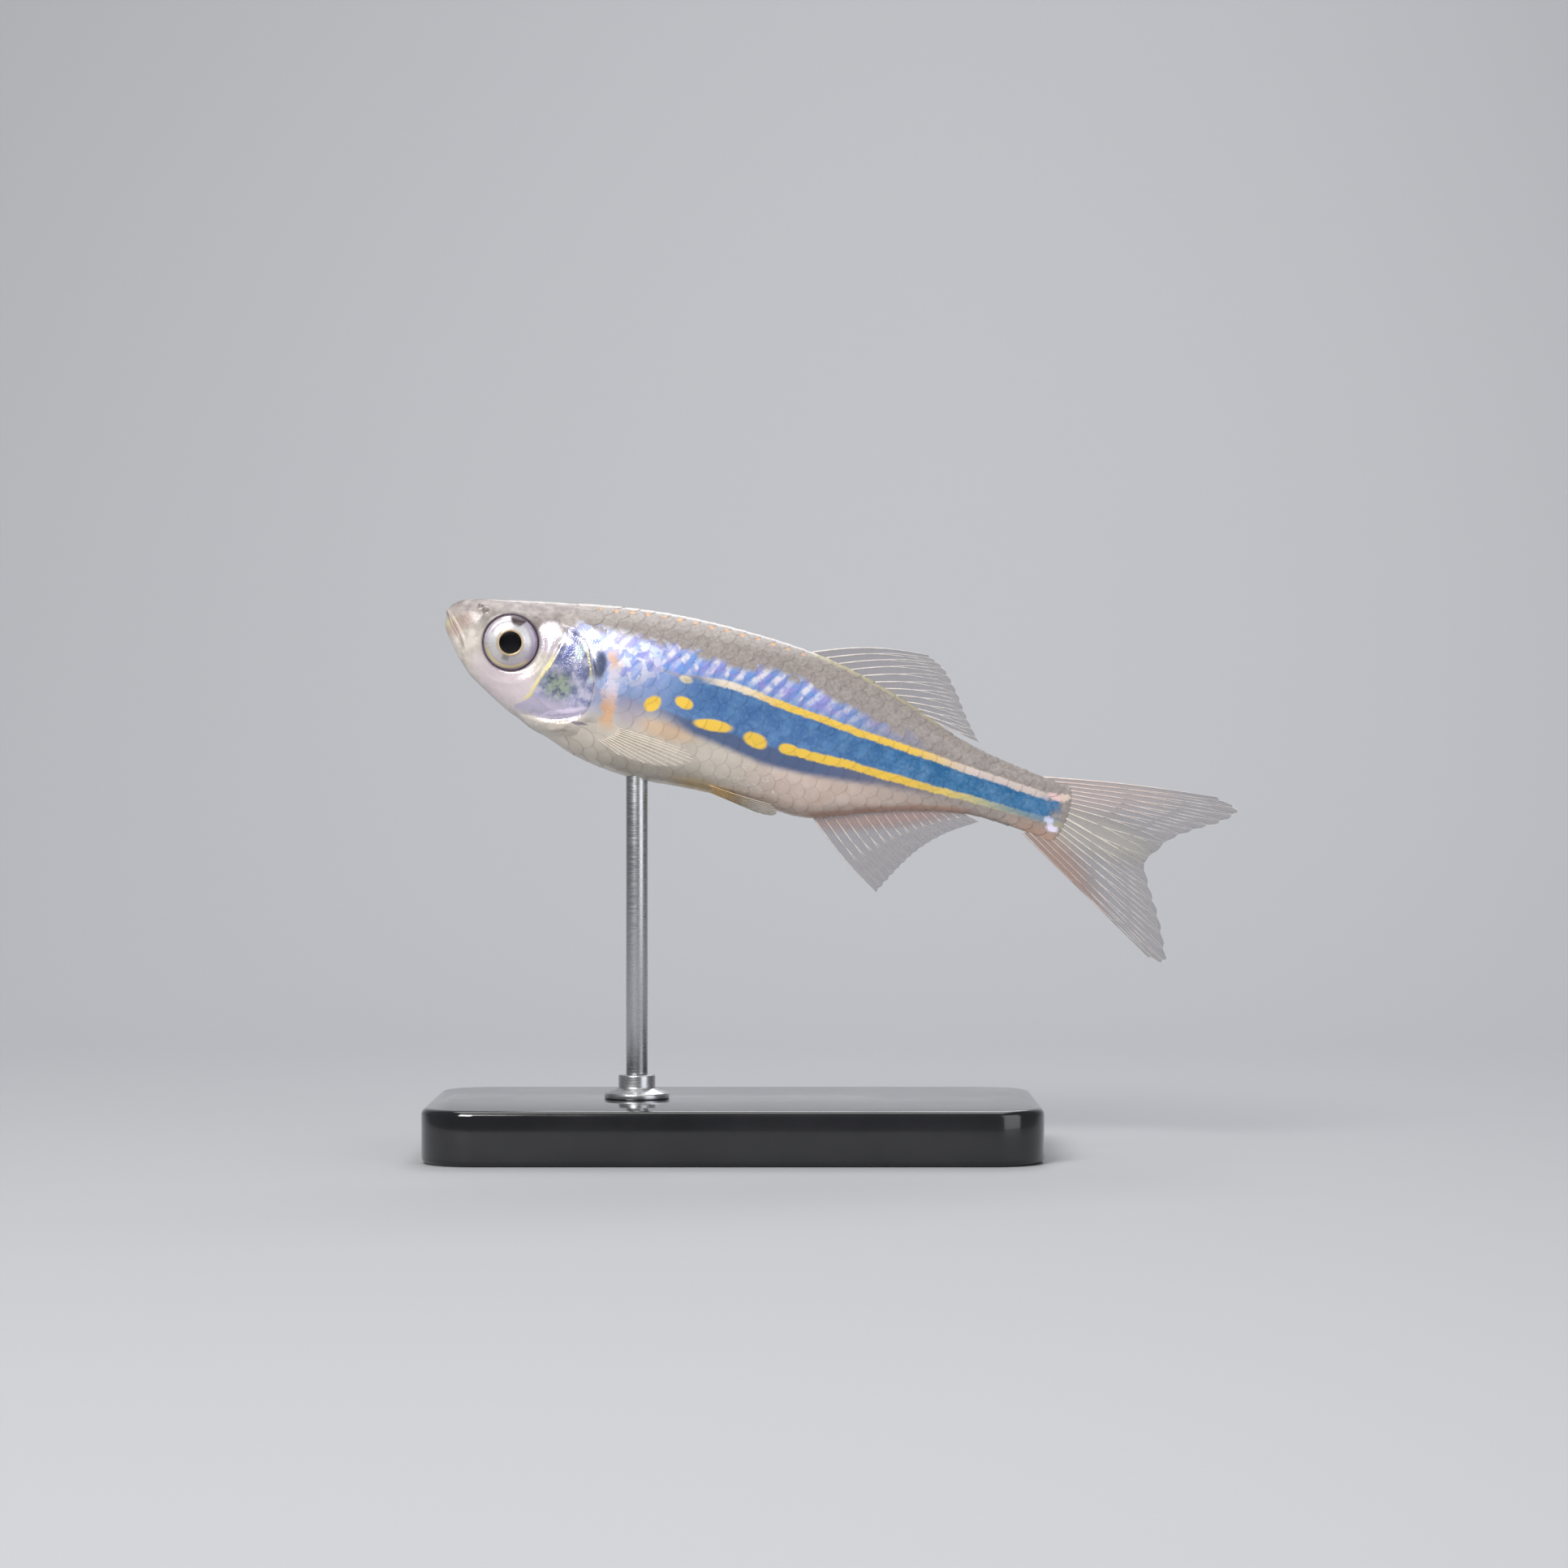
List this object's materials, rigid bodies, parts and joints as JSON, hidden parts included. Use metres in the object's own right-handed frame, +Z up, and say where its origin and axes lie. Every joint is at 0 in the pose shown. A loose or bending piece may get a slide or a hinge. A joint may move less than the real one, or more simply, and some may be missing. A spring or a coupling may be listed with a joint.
{
  "type": "giant danio",
  "caption": "Life-size model of a slim, blue and yellow striped aquarium fish swimming slightly head up, held on one rod over a flat display base.",
  "frame": {"origin": "middle of the display base's underside", "axes": "+Z up, -X towards the fish's head, -Y towards its left side"},
  "size_m": [0.075, 0.032, 0.0514],
  "materials": {
    "skin": "wet fish skin under thin scales, silvery, with blue and yellow stripes",
    "fins": "clear, faintly smoky membrane with pale rays",
    "eyes": "polished, silver iris with a gold ring round a black pupil",
    "stand_base": "black acrylic with polished edges",
    "stand_metal": "satin steel"
  },
  "bodies": {
    "root": {"head": "skin", "lower_jaw": "skin", "gill_cover_left": "skin", "gill_cover_right": "skin", "trunk": "skin", "tail": "skin", "dorsal_fin": "fins", "anal_fin": "fins", "caudal_fin_upper": "fins", "caudal_fin_lower": "fins", "pectoral_fin_left": "fins", "pectoral_fin_right": "fins", "pelvic_fin_left": "fins", "pelvic_fin_right": "fins", "eye_left": "eyes", "eye_right": "eyes", "stand_base": "stand_base", "stand_collar": "stand_metal", "stand_rod": "stand_metal"}
  },
  "joints": []
}
